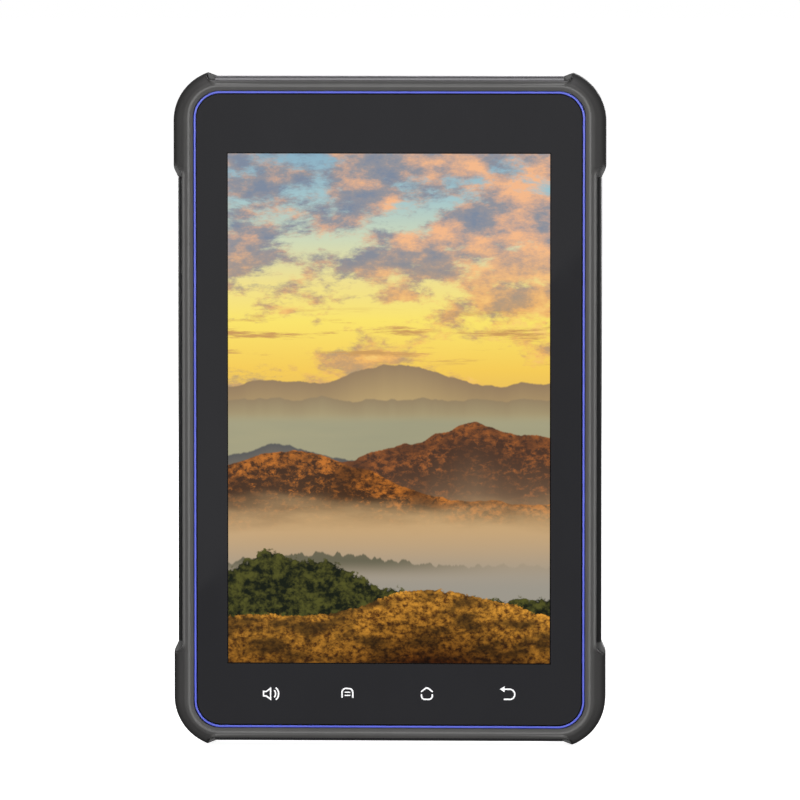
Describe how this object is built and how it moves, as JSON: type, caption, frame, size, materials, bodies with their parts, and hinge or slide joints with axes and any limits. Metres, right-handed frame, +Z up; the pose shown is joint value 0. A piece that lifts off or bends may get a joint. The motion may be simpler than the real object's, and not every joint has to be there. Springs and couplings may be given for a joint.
{
  "type": "data collector",
  "caption": "Rugged hand-held data collector: large touch screen in a grey frame with a blue ring, corner bumpers, side keys, sealed port doors and a rear bracket face.",
  "frame": {"origin": "centre of the bounding box's bottom face, where the lower corner bumpers stand", "axes": "+Z up along the long side, -Y out of the screen, +X to the right of someone looking at the screen"},
  "size_m": [0.1444, 0.018, 0.2248],
  "materials": {
    "frame": "fine-grained soft-touch dark grey",
    "bumper": "fine-textured dark grey thermoplastic rubber",
    "housing": "fine spark-eroded black texture",
    "strip": "satin black",
    "accent": "satin blue",
    "cover_glass": "polished, black printed border",
    "display": "smooth polariser film",
    "seal": "matt black silicone",
    "button": "satin dark grey",
    "screw": "blackened stainless",
    "insert": "machined",
    "sheet_steel": "plain pressed sheet",
    "alloy": "die-cast, bead blasted",
    "bezel_ring": "dark anodised with a bright edge",
    "board": "solder resist",
    "flex": "polyimide film",
    "battery": "pouch wrap",
    "ceramic": "fired",
    "inner_plastic": "moulded",
    "lens": "polished"
  },
  "bodies": {
    "casing": {"front_frame": "frame", "corner_bumper_top_left": "bumper", "corner_bumper_top_right": "bumper", "corner_bumper_bottom_left": "bumper", "corner_bumper_bottom_right": "bumper", "rear_housing": "housing", "side_grip_left": "strip", "side_grip_right": "strip", "top_trim": "strip", "bottom_trim": "strip", "accent_ring": "accent", "cover_glass": "cover_glass", "lcd_panel": "display", "glass_adhesive": "seal", "main_seal": "seal", "dock_contact_block": "seal", "thermal_pad": "seal", "housing_screw_1": "screw", "housing_screw_2": "screw", "housing_screw_3": "screw", "housing_screw_4": "screw", "housing_screw_5": "screw", "housing_screw_6": "screw", "housing_screw_7": "screw", "housing_screw_8": "screw", "mount_insert_1": "insert", "mount_insert_2": "insert", "mount_insert_3": "insert", "mount_insert_4": "insert", "backlight_unit": "sheet_steel", "shield_can_processor": "sheet_steel", "shield_can_radio": "sheet_steel", "usb_connector": "sheet_steel", "card_socket": "sheet_steel", "vibration_motor": "sheet_steel", "microphone": "sheet_steel", "speaker_grille": "sheet_steel", "mid_frame": "alloy", "camera_bezel": "bezel_ring", "main_board": "board", "bottom_board": "board", "side_key_board": "board", "touch_key_flex": "flex", "display_flex": "flex", "board_flex": "flex", "wifi_antenna": "flex", "cellular_antenna": "flex", "battery_pack": "battery", "gnss_antenna": "ceramic", "speaker_module": "inner_plastic", "rear_camera": "inner_plastic", "camera_window": "lens", "flash_lens": "lens"},
    "power_button": {"power_button": "button"},
    "function_button": {"function_button": "button"},
    "usb_door": {"usb_door": "button", "usb_door_seal": "seal"},
    "card_door": {"card_door": "button", "card_door_seal": "seal"}
  },
  "joints": [
    {"name": "power_button_press", "type": "slide", "parent": "casing", "child": "power_button", "axis": [-1, 0, 0], "range_m": [0, 0.0004], "stiffness_N_per_m": 3000, "springref_m": -0.0002},
    {"name": "function_button_press", "type": "slide", "parent": "casing", "child": "function_button", "axis": [-1, 0, 0], "range_m": [0, 0.0004], "stiffness_N_per_m": 3000, "springref_m": -0.0002},
    {"name": "usb_door_hinge", "type": "hinge", "parent": "casing", "child": "usb_door", "pos_m": [-0.06985, 0.0004, 0.1449], "axis": [0, 1, 0], "range_deg": [0, 100]},
    {"name": "card_door_hinge", "type": "hinge", "parent": "casing", "child": "card_door", "pos_m": [-0.06985, 0.0004, 0.1849], "axis": [0, 1, 0], "range_deg": [0, 100]}
  ]
}
